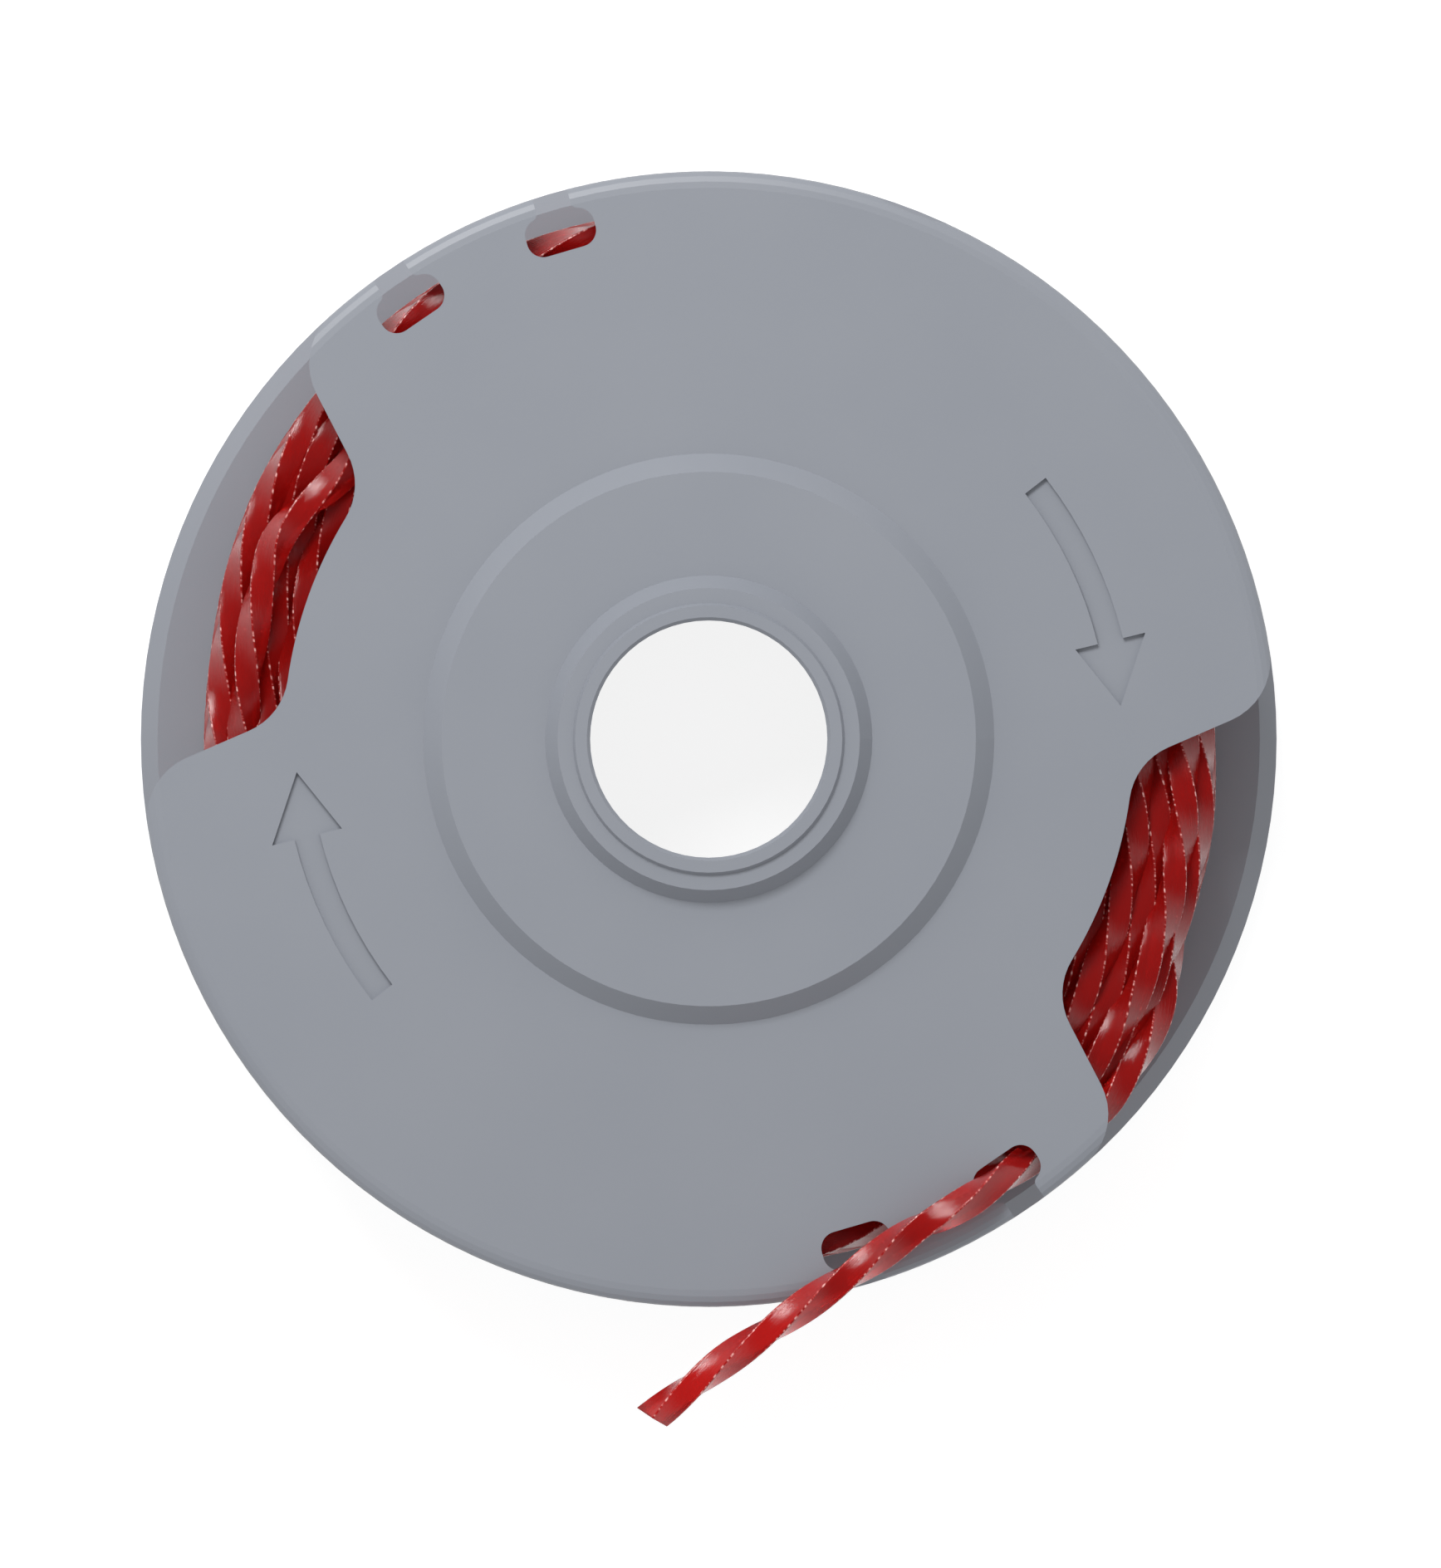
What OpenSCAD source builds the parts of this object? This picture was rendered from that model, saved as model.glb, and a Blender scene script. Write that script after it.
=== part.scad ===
// Spool of twisted cutting line for a garden trimmer: one moulded spool, its wound line and the
// line's free end. The origin is on the bore's axis, in the plane that the spool rests on, and
// +Z points out of the marked face.

/* [Flanges] */
// Radius of both flanges
flange_r = 34; // [33:0.5:40]
// Thickness of the upper flange
upper_t = 1.2; // [1:0.1:2]
// Width of the softened edge of the upper flange, seen from above
soft_w = 1; // [0.4:0.1:1.4]
// Drop of that softened edge
soft_h = 0.5; // [0.2:0.1:0.7]
// Height of the lower flange's upper face over the plane that the spool rests on
lower_h = 3; // [2.6:0.1:5]
// Thickness of the lower flange's plate
lower_t = 1.4; // [1:0.1:2]
// Wall of the skirt under the lower flange's rim
skirt_t = 1.5; // [1:0.1:2.5]
// Width of the bevel round the lower flange
bevel_w = 1; // [0.6:0.1:2]
// Drop of that bevel
bevel_h = 0.8; // [0.5:0.1:1.6]

/* [Hub] */
// Radius of the hub that the line is wound on
hub_r = 16.6; // [15.5:0.1:17.5]
// Wall of the hub
hub_wall = 1.5; // [1:0.1:2]
// Height of the winding space between the flanges
channel_h = 10; // [7:0.5:16]
// Thickness of the plate that closes the hub
plate_t = 1.8; // [1.2:0.1:2.2]
// Number of drive lugs inside the hub
lug_count = 6; // [3:1:8]
// How far a lug stands out from the hub's wall
lug_d = 1.4; // [0.8:0.1:2]
// Width of a lug at its top
lug_w = 2.4; // [1.5:0.1:3]
// Width of the ramp beside a lug
lug_ramp = 3; // [1.5:0.1:4]
// Height of a lug
lug_h = 4; // [2:0.5:5]
// Height of a lug's foot over the plane that the spool rests on
lug_z = 1; // [0.5:0.1:1.5]

/* [Boss and collar] */
// How far the boss laps over the hub's radius
boss_lap = 0.5; // [0.2:0.1:1]
// Height of the boss over the upper flange
boss_h = 1.2; // [0.8:0.1:2]
// Width of the bevel round the boss
boss_bevel = 1.1; // [0.5:0.1:1.5]
// Radius of the bore
bore_r = 7.1; // [6.5:0.05:7.5]
// Width of the worn lip round the bore
lip_w = 1.05; // [0.6:0.05:1.3]
// Height of the lip over the collar
lip_h = 0.3; // [0.1:0.05:0.6]
// Width of the collar's flat ring
land_w = 0.9; // [0.5:0.05:1.2]
// Width of the bevel round the collar
collar_bevel = 0.75; // [0.4:0.05:1]
// Height of the collar over the boss
collar_h = 1.1; // [0.6:0.1:2]
// Chamfer at both ends of the bore
bore_chamfer = 0.2; // [0.1:0.05:0.4]
// Wall of the sleeve under the hub's plate
sleeve_t = 2; // [1.2:0.1:2.4]
// How far the sleeve reaches under the hub's plate
sleeve_h = 3; // [1:0.5:4]

/* [Side cut-outs] */
// Direction of the first cut-out, the other is opposite
notch_angle = 160.35; // [150:0.05:170]
// Depth of a cut-out, measured from the rim
notch_depth = 8.55; // [7:0.05:9.5]
// Half the width of a cut-out at its floor, before its corners are rounded
notch_half = 8.2; // [6:0.1:9]
// Slant of a cut-out's sides
notch_slant = 43; // [32:1:50]
// Radius of a cut-out's inner corners
notch_corner_r = 3.9; // [2:0.1:4.2]
// Radius of the lobes beside a cut-out
lobe_r = 3.9; // [2:0.1:4.2]

/* [Line slots] */
// Direction of the first pair of slots, the other is opposite
slot_angle = 115.35; // [110:0.05:120]
// Angle between the two slots of a pair
slot_step = 18.1; // [16:0.1:22]
// Distance from the rim to the middle of a slot
slot_inset = 2.4; // [2.2:0.05:3]
// Length of a slot along the rim
slot_w = 4.25; // [3.6:0.05:5]
// Width of a slot
slot_h = 2.35; // [2.1:0.05:2.8]
// Radius of a slot's corners
slot_corner_r = 1; // [0.5:0.05:1]
// Width of the neck from a slot to the rim
neck_w = 2.15; // [1.4:0.05:2.6]
// Radius of the corners where the neck meets the slot
neck_corner_r = 0.4; // [0.2:0.05:0.6]

/* [Rim nick] */
// Direction of the shallow nick in the upper rim
nick_angle = 69; // [60:1:80]
// Depth of the nick
nick_depth = 0.25; // [0.1:0.05:0.4]
// Radius of the nick
nick_r = 27; // [15:1:40]

/* [Arrows] */
// Radius of an arrow's middle line
arrow_r = 24.75; // [23:0.05:26]
// Width of an arrow's shaft
arrow_w = 1.55; // [1:0.05:2.4]
// Width of an arrow's head
head_w = 4.3; // [3:0.1:6]
// Direction of an arrow's tail
arrow_tail_angle = 37.8; // [30:0.1:45]
// Angle that the shaft takes up
shaft_sweep = 24.1; // [15:0.1:26]
// Angle that the head takes up
head_sweep = 9.1; // [6:0.1:12]
// Depth of the arrows
arrow_depth = 0.3; // [0.1:0.05:0.5]

/* [Line] */
// Width of the line across its corners
line_w = 2; // [1.6:0.1:2.2]
// Diameter of the round cord that stands for the free end
tail_d = 1.6; // [1.2:0.1:1.8]
// Number of layers wound on the hub
layers = 10; // [4:1:10]
// Distance between layers
layer_pitch = 1.37; // [1.2:0.01:1.8]
// Clearance between the wound line and the spool
line_play = 0.1; // [0.05:0.05:0.3]

/* [Hidden] */
$fn = 96;
// Colour of the moulded plastic
plastic = [0.57, 0.59, 0.62];
// Colour of the wound line
deep_red = [0.5, 0.03, 0.06];
// Colour of the line's free end
bright_red = [0.72, 0.12, 0.06];
// How far a cutter reaches past what it cuts
past = 1;
// Facets along one rounded corner
corner_steps = 8;
// Angle before the rim at which a lobe's round runs on straight
lobe_run_out = 5;

upper_z = lower_h + channel_h;
marked_z = upper_z + upper_t;
boss_z = marked_z + boss_h;
collar_z = boss_z + collar_h;
lip_z = collar_z + lip_h;
plate_z = boss_z - plate_t;
sleeve_z = plate_z - sleeve_h;
recess_r = hub_r - hub_wall;
boss_r = hub_r + boss_lap;
lip_r = bore_r + lip_w;
collar_r = lip_r + land_w + collar_bevel;
notch_r = flange_r - notch_depth;
slot_r = flange_r - slot_inset;
coil_r = hub_r + line_play + line_w + (layers - 1) * layer_pitch;

// Route of the free end, from the winding's outer turn up through a slot, over the rim's tab and
// out to the cut end
tail_route = [
    [27.5, -11.9, 9.95],
    [27.2, -15.4, 10.2],
    [25.8, -18.7, 10.8],
    [23.8, -21.7, 11.2],
    [21.9, -23.3, 11.25],
    [20.3, -24.4, 11.6],
    [19, -25.3, 12.45],
    [17.8, -26.1, 13.75],
    [16.7, -26.9, 14.85],
    [15.5, -27.7, 15.5],
    [14.1, -28.5, 15.7],
    [12.2, -29.5, 15.5],
    [10.2, -30.9, 15.3],
    [8, -32.4, 15.2],
    [5.5, -34.1, 15.2],
    [2.9, -35.9, 15.2],
    [0.6, -37.5, 15.2],
    [-1.6, -39.2, 15.1],
    [-3.4, -40.6, 15]
];
// Rings of the swept cord between two points of the route
tail_steps = 2;
// Sides of the swept cord
tail_sides = 8;

// Point at a radius and an angle
function polar(r, a) = r * [cos(a), sin(a)];

// Points of an arc round a centre
function arc(centre, r, from, to, steps) =
    [for (i = [0:steps]) centre + polar(r, from + (to - from) * i / steps)];

// Outline of a list of points with its mirror image in the X axis behind it
function with_mirror(points) =
    concat(points, [for (i = [len(points) - 1:-1:0]) [points[i].x, -points[i].y]]);

// Section of the spool: bore, hollow hub, skirted lower flange, winding space, upper flange with
// a softened rim, bevelled boss and stepped collar
module spool_section() {
    polygon(concat(
        [
            [bore_r + bore_chamfer, sleeve_z],
            [bore_r + sleeve_t, sleeve_z],
            [bore_r + sleeve_t, plate_z],
            [recess_r, plate_z],
            [recess_r, 0],
            [hub_r, 0],
            [hub_r, lower_h - lower_t],
            [flange_r - skirt_t, lower_h - lower_t],
            [flange_r - skirt_t, 0],
            [flange_r, 0],
            [flange_r, lower_h - bevel_h],
            [flange_r - bevel_w, lower_h],
            [hub_r, lower_h],
            [hub_r, upper_z],
            [flange_r, upper_z]
        ],
        [
            for (i = [0:4])
                [flange_r - soft_w, marked_z - soft_h]
                    + [soft_w * cos(i * 22.5), soft_h * sin(i * 22.5)]
        ],
        [
            [boss_r, marked_z],
            [boss_r - boss_bevel, boss_z],
            [collar_r, boss_z],
            [collar_r - collar_bevel, collar_z],
            [lip_r, collar_z],
            [lip_r - lip_h / 2, lip_z],
            [bore_r + bore_chamfer, lip_z],
            [bore_r, lip_z - bore_chamfer],
            [bore_r, sleeve_z + bore_chamfer]
        ]
    ));
}

// Ramped drive lugs that stand inside the hub's wall
module drive_lugs() {
    root_r = recess_r + hub_wall / 2;
    root_w = lug_w + lug_ramp;
    for (i = [0:lug_count - 1])
        rotate(i * 360 / lug_count)
            translate([0, 0, lug_z])
                linear_extrude(lug_h)
                    polygon([
                        [root_r, 0],
                        [recess_r - lug_d, 0],
                        [recess_r - lug_d, lug_w],
                        polar(root_r, asin(root_w / root_r))
                    ]);
}

// Outline of one side cut-out that opens along +X: a floor that follows the spool's round, rounded
// inner corners, slanted sides, and lobes that round off into the rim
module cut_out_outline() {
    along = polar(1, notch_slant);
    across = [-along.y, along.x];
    side = [notch_r, notch_half] * across;
    inner_centre = (side - notch_corner_r) * across
        + sqrt(pow(notch_r + notch_corner_r, 2) - pow(side - notch_corner_r, 2)) * along;
    lobe_centre = (side + lobe_r) * across
        + sqrt(pow(flange_r - lobe_r, 2) - pow(side + lobe_r, 2)) * along;
    inner_angle = atan2(inner_centre.y, inner_centre.x);
    lobe_angle = atan2(lobe_centre.y, lobe_centre.x) - lobe_run_out;
    lobe_end = lobe_centre + polar(lobe_r, lobe_angle);
    half = concat(
        arc([0, 0], notch_r, 0, inner_angle, corner_steps),
        arc(inner_centre, notch_corner_r, 180 + inner_angle, 90 + notch_slant, corner_steps),
        arc(lobe_centre, lobe_r, notch_slant - 90, lobe_angle, corner_steps),
        [lobe_end + polar(flange_r / 2, lobe_angle + 90), [2 * flange_r, flange_r]]
    );
    polygon(with_mirror(half));
}

// Outline of one line slot at the middle of +X, with its neck out through the rim
module slot_outline() {
    $fn = 40;
    offset(r = -neck_corner_r)
        offset(delta = neck_corner_r) {
            translate([slot_r, 0])
                offset(r = slot_corner_r)
                    square([slot_h - 2 * slot_corner_r, slot_w - 2 * slot_corner_r], center = true);
            translate([slot_r, -neck_w / 2])
                square([slot_inset + past, neck_w]);
        }
}

// Outline of one arrow, bent round the bore, that points the way the line is wound
module arrow_outline() {
    neck_angle = arrow_tail_angle - shaft_sweep;
    polygon(concat(
        arc([0, 0], arrow_r + arrow_w / 2, arrow_tail_angle, neck_angle, corner_steps),
        [
            polar(arrow_r + head_w / 2, neck_angle),
            polar(arrow_r, neck_angle - head_sweep),
            polar(arrow_r - head_w / 2, neck_angle)
        ],
        arc([0, 0], arrow_r - arrow_w / 2, neck_angle, arrow_tail_angle, corner_steps)
    ));
}

// Everything that is cut right through the upper flange
module flange_cuts() {
    for (turn = [0, 180]) {
        rotate(notch_angle + turn)
            linear_extrude(upper_t + 2 * past)
                cut_out_outline();
        for (i = [-1, 1])
            rotate(slot_angle + turn + i * slot_step / 2)
                linear_extrude(upper_t + 2 * past)
                    slot_outline();
    }
    rotate(nick_angle)
        translate([flange_r - nick_depth + nick_r, 0, 0])
            cylinder(r = nick_r, h = upper_t + 2 * past);
}

// The moulded spool
module spool() {
    color(plastic)
        difference() {
            union() {
                rotate_extrude()
                    spool_section();
                drive_lugs();
            }
            translate([0, 0, upper_z - past])
                flange_cuts();
            for (turn = [0, 180])
                rotate(turn)
                    translate([0, 0, marked_z - arrow_depth])
                        linear_extrude(arrow_depth + past)
                            arrow_outline();
        }
}

// The wound line: its turns lie in layers round the hub, side by side between the flanges
module wound_line() {
    stack_h = channel_h - 2 * line_play - line_w;
    turns = ceil(stack_h / line_w) + 1;
    turn_pitch = stack_h / (turns - 1);
    first_r = hub_r + line_play + line_w / 2;
    first_z = lower_h + line_play + line_w / 2;
    color(deep_red)
        rotate_extrude() {
            translate([first_r - line_w / 2, first_z])
                square([(layers - 1) * layer_pitch + line_w / 2, stack_h]);
            for (layer = [0:layers - 1])
                for (turn = [0:turns - 1])
                    if (layer == layers - 1 || turn == 0 || turn == turns - 1)
                        translate([first_r + layer * layer_pitch, first_z + turn * turn_pitch])
                            circle(d = line_w, $fn = 24);
        }
}

// Point between b and c on a smooth curve through four points
function smooth_point(a, b, c, d, t) =
    0.5 * (2 * b + (c - a) * t + (2 * a - 5 * b + 4 * c - d) * t * t
        + (3 * b - a - 3 * c + d) * t * t * t);

// Points of a smooth curve through a route
function smooth_route(route, steps) =
    let (last = len(route) - 1)
    concat(
        [
            for (i = [0:last - 1])
                for (k = [0:steps - 1])
                    smooth_point(route[max(i - 1, 0)], route[i], route[i + 1],
                        route[min(i + 2, last)], k / steps)
        ],
        [route[last]]
    );

// Unit vector along a vector
function unit(v) = v / norm(v);

// Direction of a curve at one of its points
function direction(points, i) =
    unit(points[min(i + 1, len(points) - 1)] - points[max(i - 1, 0)]);

// Ring of points round a curve at one of its points
function ring(points, i, r, sides) =
    let (
        ahead = direction(points, i),
        side = unit(cross([0, 0, 1], ahead)),
        up = cross(ahead, side)
    )
    [for (k = [0:sides - 1]) points[i] + polar(r, k * 360 / sides) * [side, up]];

// Round cord swept along a curve
module cord(points, d, sides) {
    rings = len(points);
    polyhedron(
        points = [for (i = [0:rings - 1]) each ring(points, i, d / 2, sides)],
        faces = concat(
            [[for (k = [0:sides - 1]) k]],
            [
                for (i = [0:rings - 2])
                    for (k = [0:sides - 1])
                        let (
                            a = i * sides + k,
                            b = i * sides + (k + 1) % sides
                        )
                        [a, a + sides, b + sides, b]
            ],
            [[for (k = [sides - 1:-1:0]) (rings - 1) * sides + k]]
        )
    );
}

// The line's free end
module line_tail() {
    color(bright_red)
        cord(smooth_route(tail_route, tail_steps), tail_d, tail_sides);
}

spool();
wound_line();
line_tail();
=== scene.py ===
"""Spool of twisted cutting line for a garden trimmer, seen straight from above on a white ground.

The frame gives the moulded spool, the wound line and its free end. This script lays the real
twisted line in its turns, dresses the plastic and lights the scene. Lengths in the tables are
in millimetres and become metres where a mesh is made.
"""

import math

import bpy
import numpy as np
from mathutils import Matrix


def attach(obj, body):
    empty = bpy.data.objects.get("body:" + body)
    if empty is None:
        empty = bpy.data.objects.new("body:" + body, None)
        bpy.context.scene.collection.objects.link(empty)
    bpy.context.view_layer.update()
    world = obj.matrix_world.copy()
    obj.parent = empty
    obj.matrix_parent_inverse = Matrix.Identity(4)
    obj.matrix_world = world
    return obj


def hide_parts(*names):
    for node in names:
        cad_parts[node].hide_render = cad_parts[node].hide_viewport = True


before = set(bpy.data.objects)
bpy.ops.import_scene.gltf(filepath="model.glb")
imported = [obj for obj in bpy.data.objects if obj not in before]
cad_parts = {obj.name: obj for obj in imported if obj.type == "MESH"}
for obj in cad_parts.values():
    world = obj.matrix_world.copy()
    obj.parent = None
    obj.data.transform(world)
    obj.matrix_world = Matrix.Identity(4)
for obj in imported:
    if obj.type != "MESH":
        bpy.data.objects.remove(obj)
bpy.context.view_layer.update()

MM = 0.001

# The view: straight down, with the image's top towards +Y
VIEW_CENTRE = (0.706, -2.690)
VIEW_HEIGHT = 93.88

# The line: a square nylon strand, twisted to the left
CORNER_R = 1.0
CORNER_ROUND = 0.11
TWIST_LENGTH = 22.5

# Route of the free end, from the winding's outer turn out to the cut end
TAIL_ROUTE = [
    (27.5, -11.9, 9.95),
    (27.2, -15.4, 10.2),
    (25.8, -18.7, 10.8),
    (23.8, -21.7, 11.2),
    (21.9, -23.3, 11.25),
    (20.3, -24.4, 11.6),
    (19.0, -25.3, 12.45),
    (17.8, -26.1, 13.75),
    (16.7, -26.9, 14.85),
    (15.5, -27.7, 15.5),
    (14.1, -28.5, 15.7),
    (12.2, -29.5, 15.5),
    (10.2, -30.9, 15.3),
    (8.0, -32.4, 15.2),
    (5.5, -34.1, 15.2),
    (2.9, -35.9, 15.2),
    (0.6, -37.5, 15.2),
    (-1.6, -39.2, 15.1),
    (-3.4, -40.6, 15.0),
]


# ---------------------------------------------------------------- camera


def add_camera():
    """Orthographic camera high over the spool, looking straight down."""
    data = bpy.data.cameras.new("top_view")
    data.type = "ORTHO"
    data.ortho_scale = VIEW_HEIGHT * MM
    camera = bpy.data.objects.new("top_view", data)
    camera.location = (VIEW_CENTRE[0] * MM, VIEW_CENTRE[1] * MM, 0.4)
    bpy.context.scene.collection.objects.link(camera)
    bpy.context.scene.camera = camera


# ---------------------------------------------------------------- mesh helpers


def mesh_object(name, points, faces, normals=None, uv=None):
    """Object of one mesh from points in millimetres, with its place in the mesh.

    normals, one a point, shade it; uv, one a face corner in the order of faces, maps it.
    """
    mesh = bpy.data.meshes.new(name)
    mesh.from_pydata((points * MM).tolist(), [], faces)
    mesh.polygons.foreach_set("use_smooth", np.ones(len(mesh.polygons), dtype=bool))
    if uv is not None:
        layer = mesh.uv_layers.new(name="line_map")
        layer.data.foreach_set("uv", np.asarray(uv, dtype=np.float32).ravel())
    mesh.update()
    if normals is not None:
        mesh.normals_split_custom_set_from_vertices(normals.tolist())
    piece = bpy.data.objects.new(name, mesh)
    bpy.context.scene.collection.objects.link(piece)
    return piece


def smooth_curve(route, steps):
    """Catmull-Rom curve through the route's points, steps points a stretch."""
    p = np.vstack([route[0], route, route[-1]])
    a, b, c, d = p[:-3, None], p[1:-2, None], p[2:-1, None], p[3:, None]
    t = (np.arange(steps) / steps)[None, :, None]
    points = 0.5 * (
        2 * b + (c - a) * t + (2 * a - 5 * b + 4 * c - d) * t**2 + (3 * b - a - 3 * c + d) * t**3
    )
    return np.vstack([points.reshape(-1, 3), p[-1]])


def arc_lengths(points):
    """Length along a line of points, from its first point to each."""
    steps = np.linalg.norm(np.diff(points, axis=0), axis=1)
    return np.concatenate([[0.0], np.cumsum(steps)])


def even_points(points, step):
    """The same line in points an even distance apart, close to step."""
    s = arc_lengths(points)
    at = np.linspace(0, s[-1], int(round(s[-1] / step)) + 1)
    return np.column_stack([np.interp(at, s, points[:, k]) for k in range(3)])


# ---------------------------------------------------------------- the twisted line


def square_section():
    """Square with small round corners, as radius, angle, outline direction and map place.

    Each corner has three points on an arc of radius CORNER_ROUND whose centre lies on the
    diagonal; angles in radians, from one corner round through the four sides.
    """
    centre = CORNER_R - CORNER_ROUND
    turn = np.radians([-45.0, 0.0, 45.0])
    x = centre + CORNER_ROUND * np.cos(turn)
    y = CORNER_ROUND * np.sin(turn)
    radius = np.hypot(x, y)
    angle = np.arctan2(y, x)
    corner = np.arange(4)[:, None] * np.pi / 2
    place = np.arange(4)[:, None] + np.array([-0.07, 0.0, 0.07])
    return (
        np.tile(radius, 4),
        (angle + corner).ravel(),
        (turn + corner).ravel() + np.pi / 2,
        place.ravel(),
    )


def twisted_line(name, points, phase, end_slant=0.0):
    """Twisted square strand swept along points, phase being its turn in degrees at each.

    A point of the section at angle a and radius r lies at r sin(a + phase) to the side and
    r cos(a + phase) up from the path. The side is the level direction on the left of the way
    ahead. Normals are the cross product of the surface's two directions.
    """
    ahead = np.gradient(points, axis=0)
    ahead /= np.linalg.norm(ahead, axis=1)[:, None]
    side = np.cross([0.0, 0.0, 1.0], ahead)
    side /= np.linalg.norm(side, axis=1)[:, None]
    up = np.cross(ahead, side)
    radius, angle, heading, place = square_section()
    turn = np.radians(phase)[:, None]
    across = radius * np.sin(angle + turn)
    rise = radius * np.cos(angle + turn)
    grid = points[:, None] + across[..., None] * side[:, None] + rise[..., None] * up[:, None]
    if end_slant:
        near = np.exp(-((arc_lengths(points)[-1] - arc_lengths(points)) / 0.8))
        grid += (near[:, None] * across * end_slant)[..., None] * ahead[:, None]
    along = np.gradient(grid, axis=0)
    round_ = (
        np.sin(heading + turn)[..., None] * side[:, None]
        + np.cos(heading + turn)[..., None] * up[:, None]
    )
    normals = np.cross(along, round_)
    normals /= np.linalg.norm(normals, axis=2)[..., None]
    outward = across[..., None] * side[:, None] + rise[..., None] * up[:, None]
    if (normals * outward).sum() < 0:
        normals = -normals
    rings, sides = grid.shape[:2]
    i, k = np.meshgrid(np.arange(rings - 1), np.arange(sides), indexing="ij")
    n = (k + 1) % sides
    quads = np.stack([i * sides + k, i * sides + n, (i + 1) * sides + n, (i + 1) * sides + k], -1)
    s = arc_lengths(points)
    u0, u1 = place[k], np.where(n == 0, place[0] + 4, place[n])
    uv = np.stack(
        [
            np.stack([u0, s[i]], -1),
            np.stack([u1, s[i]], -1),
            np.stack([u1, s[i + 1]], -1),
            np.stack([u0, s[i + 1]], -1),
        ],
        2,
    ).reshape(-1, 2)
    first = list(range(sides))
    last = [(rings - 1) * sides + j for j in range(sides - 1, -1, -1)]
    quads = quads.reshape(-1, 4)[:, ::-1]
    uv = uv.reshape(-1, 4, 2)[:, ::-1].reshape(-1, 2)
    faces = quads.tolist() + [first, last]
    cap = np.stack([np.arange(sides) * 0.01, np.zeros(sides)], -1)
    uv = np.vstack([uv, cap, cap])
    return mesh_object(name, grid.reshape(-1, 3), faces, normals.reshape(-1, 3), uv)


def add_tail():
    """The line's free end, a twisted strand put in place of the frame's tail."""
    points = even_points(smooth_curve(np.array(TAIL_ROUTE), 24), 0.3)
    s = arc_lengths(points)
    phase = 360 * s / TWIST_LENGTH + TAIL_PHASE
    tail = twisted_line("line_end", points, phase, TAIL_SLANT)
    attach(tail, "root")
    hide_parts("line_tail")
    return tail


TAIL_PHASE = 0.0
TAIL_SLANT = -0.36

add_camera()
tail = add_tail()

# ---------------------------------------------------------------- the winding

LAYERS = 10
ROWS = 5
FIRST_R = 17.7
LAYER_STEP = 1.37
ROW_STEP = 1.85
LOW_ROW_Z = 4.05
HIGH_ROW_Z = 4.55
CHANGE_FROM, CHANGE_TO = 48.0, 78.0
END_ANGLE = math.degrees(math.atan2(11.9, 27.5))

# How far the outermost layer drifts outward, by the angle clockwise from +X
DRIFT = [
    (0, -0.70), (10, -0.35), (20, -0.15), (35, 0.40), (45, 0.65), (65, 0.80), (90, 0.60),
    (130, 0.0), (165, -0.60), (180, -0.80), (190, -0.75), (200, -0.35), (210, 0.05),
    (220, 0.30), (236, 0.70), (254, 0.75), (280, 0.40), (320, -0.20), (345, -0.60),
]
# The same for the layers inside it
INNER_DRIFT = [
    (0, -0.28), (10, 0.12), (20, 0.56), (38, 1.38), (46, 1.55), (60, 1.2), (75, 0.75),
    (95, 0.45), (130, 0.0), (165, -0.60), (180, -0.80), (190, -0.75), (200, -0.35),
    (210, 0.05), (220, 0.30), (236, 0.70), (254, 0.75), (280, 0.40), (320, -0.20), (345, -0.50),
]


def round_trip(table, angle):
    """Smooth periodic curve through a table of (angle, value), by cosine steps between them."""
    a = np.array([row[0] for row in table], dtype=float)
    v = np.array([row[1] for row in table], dtype=float)
    a = np.concatenate([a - 360, a, a + 360])
    v = np.tile(v, 3)
    slope = np.gradient(v, a)
    x = np.mod(angle, 360)
    i = np.clip(np.searchsorted(a, x, side="right") - 1, 0, len(a) - 2)
    w = a[i + 1] - a[i]
    t = (x - a[i]) / w
    return (
        v[i] * (2 * t**3 - 3 * t**2 + 1)
        + w * slope[i] * (t**3 - 2 * t**2 + t)
        + v[i + 1] * (-2 * t**3 + 3 * t**2)
        + w * slope[i + 1] * (t**3 - t**2)
    )


def ease(x, start, end):
    """Smooth step from 0 at start to 1 at end."""
    t = np.clip((x - start) / (end - start), 0, 1)
    return t * t * (3 - 2 * t)


def bump(x, start, top, fall, end):
    """Smooth hill: up from start to top, level, and down from fall to end."""
    return ease(x, start, top) * (1 - ease(x, fall, end))


def turn_order():
    """(layer, row) of each turn from the hub outwards: down an even layer, up an odd one.

    In the outermost layer the top row comes before the one under it, which ends in the tail.
    """
    order = []
    for layer in range(LAYERS):
        rows = list(range(ROWS))
        if layer % 2 == 0:
            rows.reverse()
        if layer == LAYERS - 1:
            rows = [0, 1, 2, 4, 3]
        order += [(layer, row) for row in rows]
    return order


def turn_angles(layer, row):
    """Angles of a turn's rings, close together where the turn shows."""
    start, end = CHANGE_TO - 30.0, CHANGE_TO + 330.0
    if row == ROWS - 1 and layer >= 5:
        marks = [(start, 2.5), (160, 0.9), (262, 2.5), (345, 0.9), (end, 0.9)]
    elif layer == LAYERS - 1:
        marks = [(start, 1.5), (end, 1.5)]
    elif layer == LAYERS - 2:
        marks = [(start, 3.0), (end, 3.0)]
    else:
        marks = [(start, 5.0), (end, 5.0)]
    stretches = []
    for (a, step), (b, _) in zip(marks[:-1], marks[1:]):
        stretches.append(np.linspace(a, b, max(2, int(round((b - a) / step))), endpoint=False))
    return np.concatenate(stretches)


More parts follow.
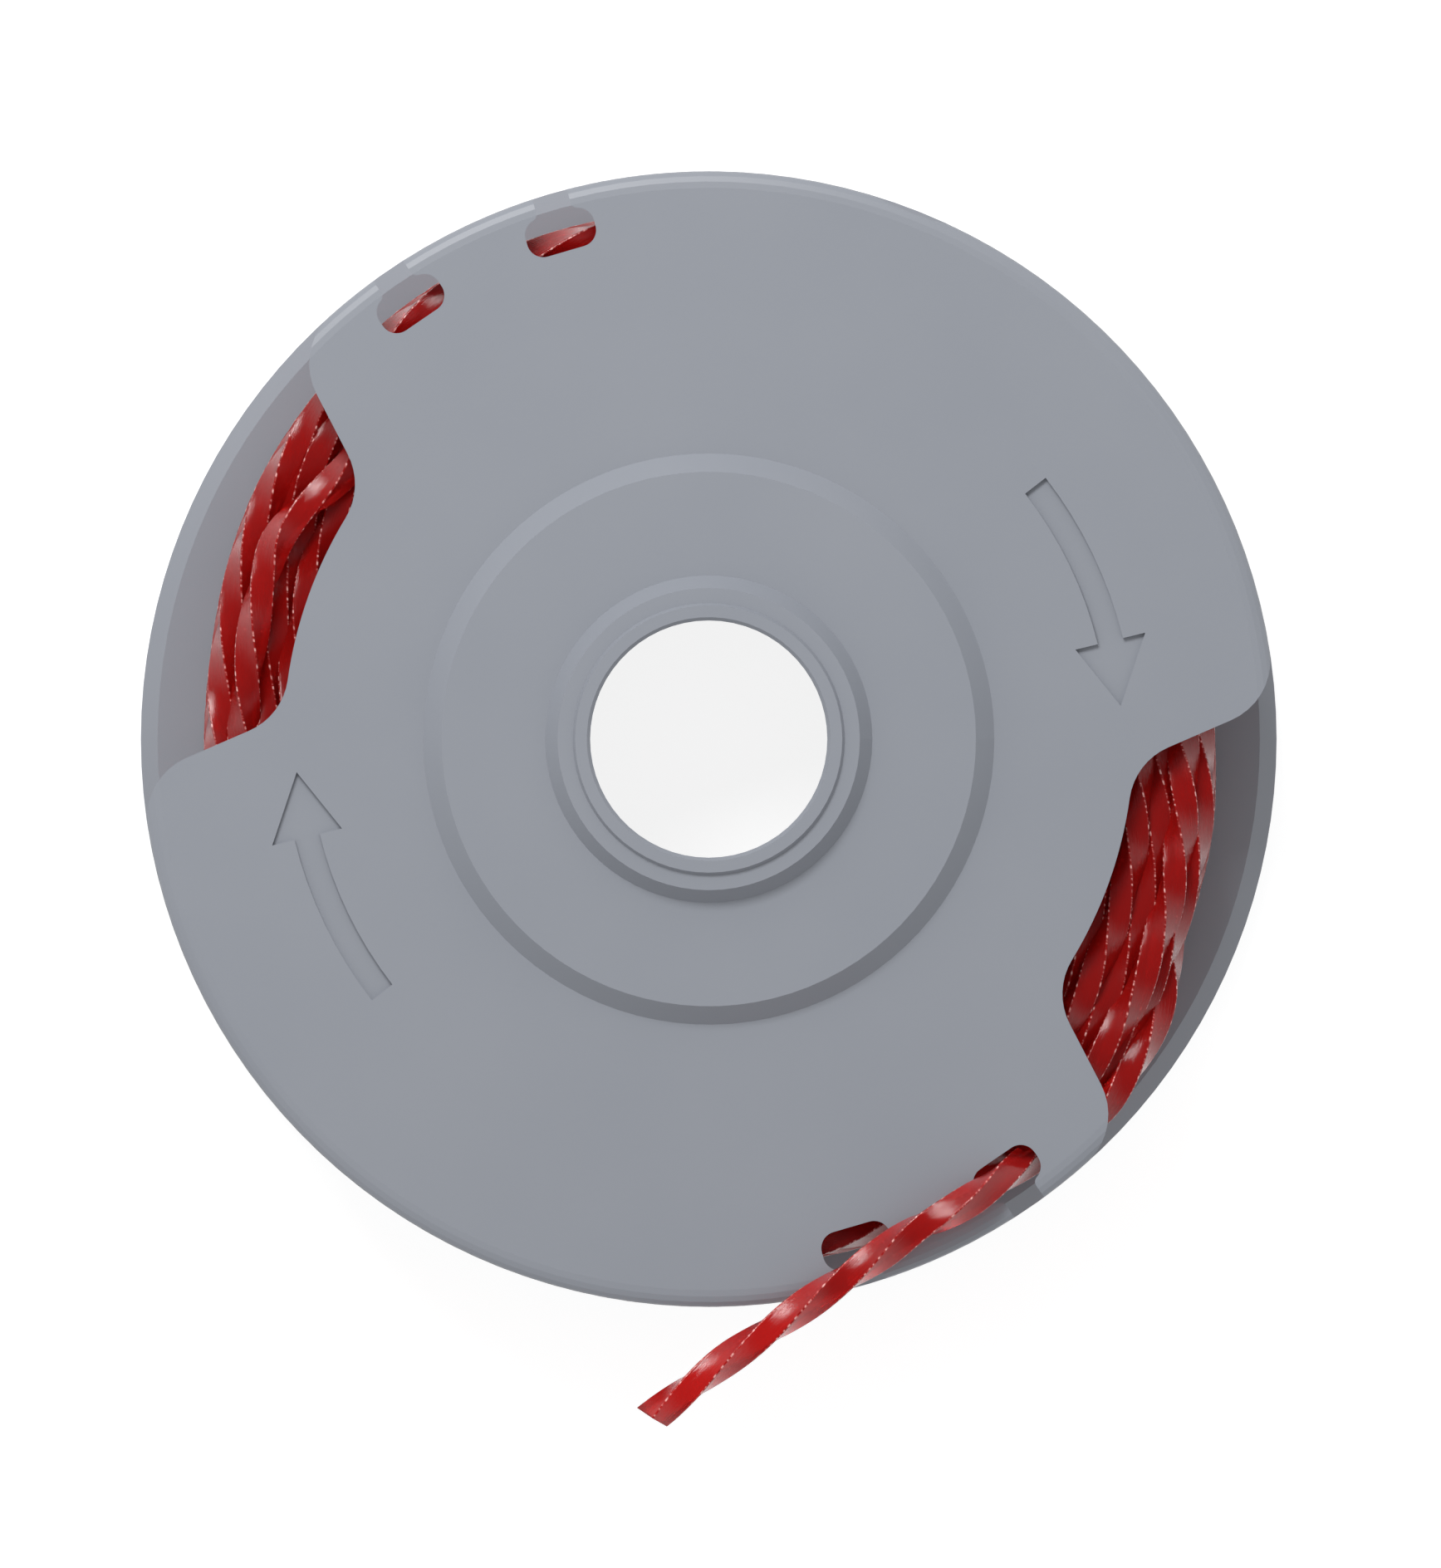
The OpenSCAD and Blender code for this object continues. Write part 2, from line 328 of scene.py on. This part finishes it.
def winding_path():
    """Points of the whole winding, their total clockwise angle and their turn's number."""
    order = turn_order()
    total, number = [], []
    for n, (layer, row) in enumerate(order):
        angles = turn_angles(layer, row)
        if n == len(order) - 1:
            angles = angles[angles < 360 + END_ANGLE - 0.4]
            angles = np.append(angles, 360 + END_ANGLE)
        total.append(angles + 360 * n)
        number.append(np.full(len(angles), n))
    total, number = np.concatenate(total), np.concatenate(number)
    angle = np.mod(total, 360)
    layers = np.array([o[0] for o in order])
    rows = np.array([o[1] for o in order])
    before = np.maximum(number - 1, 0)
    local = total - 360 * number
    change = ease(local, CHANGE_FROM, CHANGE_TO)
    change[number == 0] = 1.0

    def place(n):
        layer, row = layers[n], rows[n]
        share = np.clip((layer + 1) / 7.0, 0, 1)
        drift = np.where(
            layer == LAYERS - 1, round_trip(DRIFT, angle), round_trip(INNER_DRIFT, angle)
        )
        r = FIRST_R + LAYER_STEP * layer + share * drift
        low = np.where(layer % 2 == 0, HIGH_ROW_Z, LOW_ROW_Z)
        z = low + ROW_STEP * row
        z = z - (z - LOW_ROW_Z) * 0.12 * bump(angle, 172, 188, 216, 232)
        # the outermost top turn lies a little under its neighbour in the right cut-out
        outer_top = (layer == LAYERS - 1) & (row == ROWS - 1)
        z = z - outer_top * 0.45 * bump(np.mod(angle + 60, 360), 35, 55, 105, 125)
        last = (layer == LAYERS - 1) & (row == 3)
        z = z + last * 0.35 * bump(np.mod(angle + 60, 360), 60, 82, 120, 140)
        # the turn that crosses over its inner neighbour in the left cut-out
        crossing = (layer == LAYERS - 2) & (row == ROWS - 1)
        r = r - crossing * 1.9 * bump(angle, 203, 218, 240, 275)
        z = z + crossing * 1.35 * bump(angle, 178, 196, 222, 236)
        under = (layer == LAYERS - 3) & (row == ROWS - 1)
        z = z - under * 0.35 * bump(angle, 196, 206, 226, 240)
        lifted = (layer == LAYERS - 2) & (row == ROWS - 2)
        z = z + lifted * 1.5 * bump(angle, 205, 216, 236, 250)
        return r, z

    r0, z0 = place(before)
    r1, z1 = place(number)
    r = r0 + (r1 - r0) * change
    z = z0 + (z1 - z0) * change
    a = np.radians(total)
    points = np.column_stack([r * np.cos(a), -r * np.sin(a), z])
    return points, total, number


# Places where a corner of the strand comes up on top, as (layer, row, angle)
TOP_CORNERS = [
    (8, 4, 361.4), (8, 4, 371.4), (8, 4, 380.7), (8, 4, 392.5),
    (7, 4, 364.5), (7, 4, 375.2), (7, 4, 387.0),
    (6, 4, 365.0), (6, 4, 376.3), (6, 4, 387.5), (6, 4, 398.5),
]


def add_winding():
    """The wound line, one strand through all its turns, its twist held to TOP_CORNERS."""
    points, total, _ = winding_path()
    phase = 360 * arc_lengths(points) / TWIST_LENGTH
    order = turn_order()
    targets = sorted(360 * order.index((layer, row)) + angle for layer, row, angle in TOP_CORNERS)
    at = np.array(targets)
    wrong = np.mod(np.interp(at, total, phase) + 45, 90) - 45
    phase = phase - np.interp(total, at, np.unwrap(wrong, period=90))
    winding = twisted_line("wound_strand", points, phase)
    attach(winding, "root")
    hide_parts("wound_line")
    print("winding length m", arc_lengths(points)[-1] / 1000)
    return winding


winding = add_winding()

# ---------------------------------------------------------------- materials


class Nodes:
    """Short way to write a material's nodes."""

    def __init__(self, tree):
        self.tree = tree

    def add(self, kind, **values):
        node = self.tree.nodes.new(kind)
        for key, value in values.items():
            if key in node.inputs and not hasattr(type(node), key):
                self.put(value, node.inputs[key])
            elif hasattr(node, key):
                setattr(node, key, value)
            else:
                self.put(value, node.inputs[key.replace("_", " ")])
        return node

    def put(self, value, socket):
        if isinstance(value, bpy.types.NodeSocket):
            self.tree.links.new(value, socket)
        else:
            socket.default_value = value

    def math(self, operation, a, b=0.0, clamp=False):
        node = self.tree.nodes.new("ShaderNodeMath")
        node.operation = operation
        node.use_clamp = clamp
        self.put(a, node.inputs[0])
        self.put(b, node.inputs[1])
        return node.outputs[0]

    def mix(self, factor, a, b):
        node = self.tree.nodes.new("ShaderNodeMix")
        node.data_type = "RGBA"
        self.put(factor, node.inputs[0])
        self.put(a, node.inputs[6])
        self.put(b, node.inputs[7])
        return node.outputs[2]

    def range(self, value, low, high, out_low=0.0, out_high=1.0):
        node = self.tree.nodes.new("ShaderNodeMapRange")
        self.put(value, node.inputs[0])
        for index, number in enumerate((low, high, out_low, out_high)):
            node.inputs[index + 1].default_value = number
        return node.outputs[0]


def new_material(name):
    """Material with a Principled shader; returns it, its nodes and the shader."""
    material = bpy.data.materials.new(name)
    material.use_nodes = True
    shader = material.node_tree.nodes["Principled BSDF"]
    return material, Nodes(material.node_tree), shader


def red_nylon():
    """Clear deep red nylon: fine grooves along the strand and whitish burrs on its corners."""
    material, n, shader = new_material("red_nylon")
    place = n.add("ShaderNodeUVMap", uv_map="line_map").outputs[0]
    split = n.add("ShaderNodeSeparateXYZ")
    n.put(place, split.inputs[0])
    u, v = split.outputs[0], split.outputs[1]
    from_corner = n.math("PINGPONG", u, 0.5)
    grooves = n.add("ShaderNodeTexNoise", noise_dimensions="3D")
    spot = n.add("ShaderNodeCombineXYZ")
    n.put(n.math("MULTIPLY", u, 26.0), spot.inputs[0])
    n.put(n.math("MULTIPLY", v, 0.35), spot.inputs[1])
    n.put(spot.outputs[0], grooves.inputs["Vector"])
    grooves.inputs["Scale"].default_value = 1.0
    grooves.inputs["Detail"].default_value = 3.0
    bump = n.add("ShaderNodeBump")
    bump.inputs["Strength"].default_value = 0.35
    bump.inputs["Distance"].default_value = 0.00005
    n.put(grooves.outputs["Fac"], bump.inputs["Height"])
    n.put(bump.outputs[0], shader.inputs["Normal"])
    dots = n.add("ShaderNodeTexNoise", noise_dimensions="3D")
    spot2 = n.add("ShaderNodeCombineXYZ")
    n.put(n.math("MULTIPLY", u, 1.0), spot2.inputs[0])
    n.put(n.math("MULTIPLY", v, 3.2), spot2.inputs[1])
    n.put(spot2.outputs[0], dots.inputs["Vector"])
    dots.inputs["Scale"].default_value = 1.0
    dots.inputs["Detail"].default_value = 2.0
    edge = n.range(from_corner, 0.035, 0.06, 1.0, 0.0)
    worn = n.range(dots.outputs["Fac"], 0.48, 0.62, 0.0, 1.0)
    burr = n.math("MULTIPLY", edge, worn)
    n.put(
        n.mix(burr, (0.60, 0.012, 0.010, 1), (0.85, 0.45, 0.42, 1)), shader.inputs["Base Color"]
    )
    shader.inputs["Roughness"].default_value = 0.14
    shader.inputs["IOR"].default_value = 1.53
    n.put(n.math("MULTIPLY", n.math("SUBTRACT", 1.0, burr), 0.6), shader.inputs["Transmission Weight"])
    shader.inputs["Subsurface Weight"].default_value = 0.0
    return material


def grey_plastic():
    """Satin grey moulded plastic with a fine grain and slight mottling."""
    material, n, shader = new_material("grey_plastic")
    place = n.add("ShaderNodeTexCoord").outputs["Object"]
    cloud = n.add("ShaderNodeTexNoise")
    n.put(place, cloud.inputs["Vector"])
    cloud.inputs["Scale"].default_value = 90.0
    cloud.inputs["Detail"].default_value = 4.0
    shade = n.range(cloud.outputs["Fac"], 0.3, 0.7)
    n.put(
        n.mix(shade, (0.285, 0.303, 0.342, 1), (0.297, 0.314, 0.352, 1)), shader.inputs["Base Color"]
    )
    shader.inputs["Roughness"].default_value = 0.42
    grain = n.add("ShaderNodeTexNoise")
    n.put(place, grain.inputs["Vector"])
    grain.inputs["Scale"].default_value = 2600.0
    bump = n.add("ShaderNodeBump")
    bump.inputs["Strength"].default_value = 0.12
    bump.inputs["Distance"].default_value = 0.00003
    n.put(grain.outputs["Fac"], bump.inputs["Height"])
    n.put(bump.outputs[0], shader.inputs["Normal"])
    return material


nylon = red_nylon()
plastic = grey_plastic()
for piece in (tail, winding):
    piece.data.materials.append(nylon)
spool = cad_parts["spool"]
if not spool.material_slots:
    spool.data.materials.append(plastic)
for slot in spool.material_slots:
    slot.link = "OBJECT"
    slot.material = plastic

# ---------------------------------------------------------------- floor, light and world


def add_floor():
    """Plain white ground that keeps a faint shadow."""
    size = 1.5
    mesh = bpy.data.meshes.new("ground")
    mesh.from_pydata(
        [(-size, -size, 0), (size, -size, 0), (size, size, 0), (-size, size, 0)], [], [(0, 1, 2, 3)]
    )
    floor = bpy.data.objects.new("ground", mesh)
    bpy.context.scene.collection.objects.link(floor)
    material = bpy.data.materials.new("white_ground")
    material.use_nodes = True
    tree = material.node_tree
    tree.nodes.clear()
    n = Nodes(tree)
    out = tree.nodes.new("ShaderNodeOutputMaterial")
    paper = tree.nodes.new("ShaderNodeBsdfDiffuse")
    paper.inputs["Color"].default_value = (0.35, 0.35, 0.35, 1)
    glow = tree.nodes.new("ShaderNodeEmission")
    rays = tree.nodes.new("ShaderNodeLightPath")
    seen = n.math("MAXIMUM", rays.outputs["Is Camera Ray"], rays.outputs["Is Glossy Ray"])
    seen = n.math("MAXIMUM", seen, rays.outputs["Is Transmission Ray"])
    n.put(n.math("MULTIPLY", seen, 0.85), glow.inputs["Strength"])
    both = tree.nodes.new("ShaderNodeAddShader")
    n.put(paper.outputs[0], both.inputs[0])
    n.put(glow.outputs[0], both.inputs[1])
    n.put(both.outputs[0], out.inputs["Surface"])
    mesh.materials.append(material)


def add_softbox(name, azimuth, elevation, distance, width, height, power):
    """Rectangular soft light aimed at the middle of the spool."""
    data = bpy.data.lights.new(name, "AREA")
    data.shape = "RECTANGLE"
    data.size, data.size_y, data.energy = width, height, power
    lamp = bpy.data.objects.new(name, data)
    a, e = math.radians(azimuth), math.radians(elevation)
    lamp.location = (
        distance * math.cos(a) * math.cos(e),
        distance * math.sin(a) * math.cos(e),
        distance * math.sin(e),
    )
    lamp.rotation_euler = (math.pi / 2 - e, 0, a + math.pi / 2)
    bpy.context.scene.collection.objects.link(lamp)
    return lamp


def add_world():
    """Even grey fill light; what glossy surfaces see is white near the ground and dark above."""
    world = bpy.data.worlds.new("studio")
    bpy.context.scene.world = world
    world.use_nodes = True
    tree = world.node_tree
    tree.nodes.clear()
    n = Nodes(tree)
    out = tree.nodes.new("ShaderNodeOutputWorld")
    air = tree.nodes.new("ShaderNodeBackground")
    rays = tree.nodes.new("ShaderNodeLightPath")
    direction = tree.nodes.new("ShaderNodeTexCoord").outputs["Generated"]
    split = tree.nodes.new("ShaderNodeSeparateXYZ")
    n.put(direction, split.inputs[0])
    height = n.range(split.outputs[2], 0.25, 0.75)
    gloss = n.mix(height, (0.95, 0.95, 0.95, 1), (0.06, 0.06, 0.065, 1))
    fill = (FILL, FILL, FILL, 1)
    shown = n.mix(rays.outputs["Is Glossy Ray"], fill, gloss)
    straight = n.math("MAXIMUM", rays.outputs["Is Camera Ray"], rays.outputs["Is Transmission Ray"])
    shown = n.mix(straight, shown, (1, 1, 1, 1))
    n.put(shown, air.inputs["Color"])
    n.put(air.outputs[0], out.inputs["Surface"])


FILL = 0.55

add_floor()
add_world()
add_softbox("key_softbox", 112, 50, 0.5, 0.26, 0.16, 1.6)

scene = bpy.context.scene
scene.view_settings.view_transform = "Standard"
